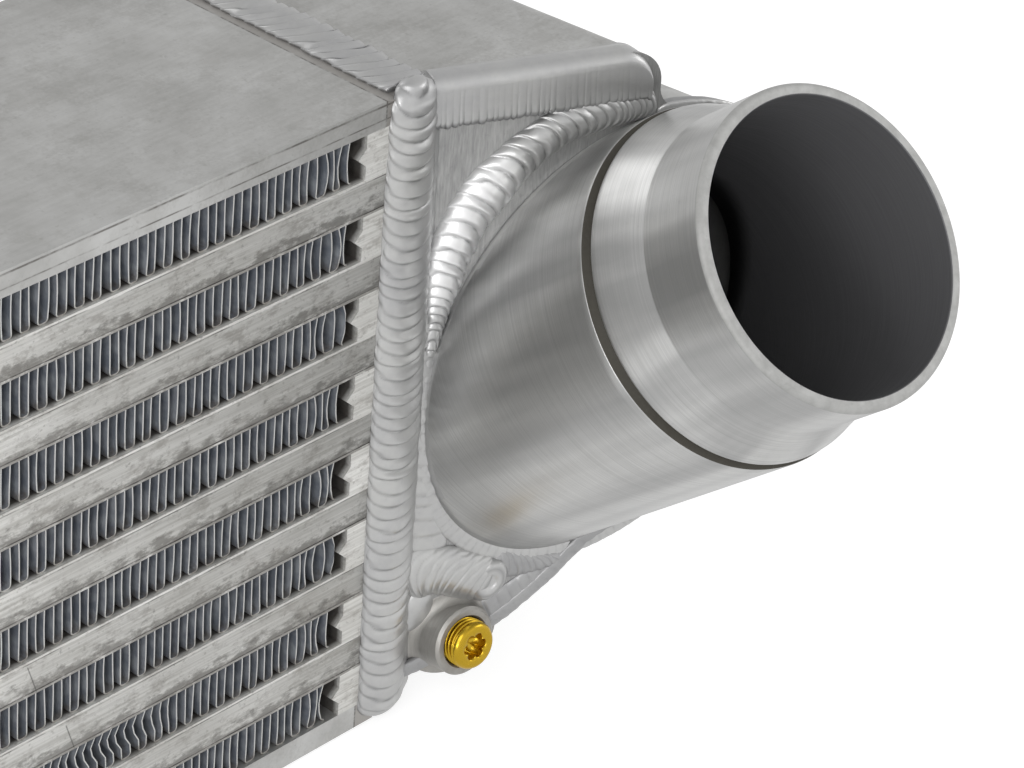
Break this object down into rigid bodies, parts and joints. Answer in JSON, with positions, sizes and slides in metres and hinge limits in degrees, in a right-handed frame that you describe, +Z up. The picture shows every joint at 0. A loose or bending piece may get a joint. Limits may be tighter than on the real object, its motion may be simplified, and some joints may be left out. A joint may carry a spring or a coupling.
{
  "type": "bar-and-plate intercooler",
  "caption": "Bar-and-plate charge-air cooler: folded fins between welded end tanks, each with a raked hose spigot; the outlet tank has a plugged sensor boss.",
  "frame": {"origin": "middle of the underside of the core", "axes": "+X along the core towards the outlet tank, +Y back through the core, +Z up"},
  "size_m": [0.4936, 0.167, 0.148],
  "materials": {
    "plate_aluminium": "mill finish, faintly brushed",
    "bar_aluminium": "brazed, dull, lightly stained",
    "fin_aluminium": "folded strip, bright edges",
    "turned_aluminium": "turned and brushed",
    "weld_aluminium": "rippled weld bead, satin",
    "plug_brass": "bright gold"
  },
  "bodies": {
    "root": {"core_top_plate": "plate_aluminium", "core_bottom_plate": "plate_aluminium", "cooling_fin_1": "fin_aluminium", "header_bars_1": "bar_aluminium", "cooling_fin_2": "fin_aluminium", "header_bars_2": "bar_aluminium", "cooling_fin_3": "fin_aluminium", "header_bars_3": "bar_aluminium", "cooling_fin_4": "fin_aluminium", "header_bars_4": "bar_aluminium", "cooling_fin_5": "fin_aluminium", "header_bars_5": "bar_aluminium", "cooling_fin_6": "fin_aluminium", "header_bars_6": "bar_aluminium", "cooling_fin_7": "fin_aluminium", "header_bars_7": "bar_aluminium", "cooling_fin_8": "fin_aluminium", "header_bars_8": "bar_aluminium", "parting_sheets_1": "bar_aluminium", "charge_bars_1": "bar_aluminium", "charge_turbulator_1": "fin_aluminium", "parting_sheets_2": "bar_aluminium", "charge_bars_2": "bar_aluminium", "charge_turbulator_2": "fin_aluminium", "parting_sheets_3": "bar_aluminium", "charge_bars_3": "bar_aluminium", "charge_turbulator_3": "fin_aluminium", "parting_sheets_4": "bar_aluminium", "charge_bars_4": "bar_aluminium", "charge_turbulator_4": "fin_aluminium", "parting_sheets_5": "bar_aluminium", "charge_bars_5": "bar_aluminium", "charge_turbulator_5": "fin_aluminium", "parting_sheets_6": "bar_aluminium", "charge_bars_6": "bar_aluminium", "charge_turbulator_6": "fin_aluminium", "parting_sheets_7": "bar_aluminium", "charge_bars_7": "bar_aluminium", "charge_turbulator_7": "fin_aluminium", "outlet_tank_front_wall": "plate_aluminium", "outlet_tank_back_wall": "plate_aluminium", "outlet_tank_top_plate": "plate_aluminium", "outlet_tank_side_sheet": "plate_aluminium", "outlet_spigot": "turned_aluminium", "outlet_core_weld": "weld_aluminium", "outlet_seam_weld": "weld_aluminium", "outlet_saddle_weld": "weld_aluminium", "inlet_tank_front_wall": "plate_aluminium", "inlet_tank_back_wall": "plate_aluminium", "inlet_tank_top_plate": "plate_aluminium", "inlet_tank_side_sheet": "plate_aluminium", "inlet_spigot": "turned_aluminium", "inlet_core_weld": "weld_aluminium", "inlet_seam_weld": "weld_aluminium", "inlet_saddle_weld": "weld_aluminium", "plug_boss": "turned_aluminium", "boss_plug": "plug_brass", "boss_weld": "weld_aluminium"}
  },
  "joints": []
}
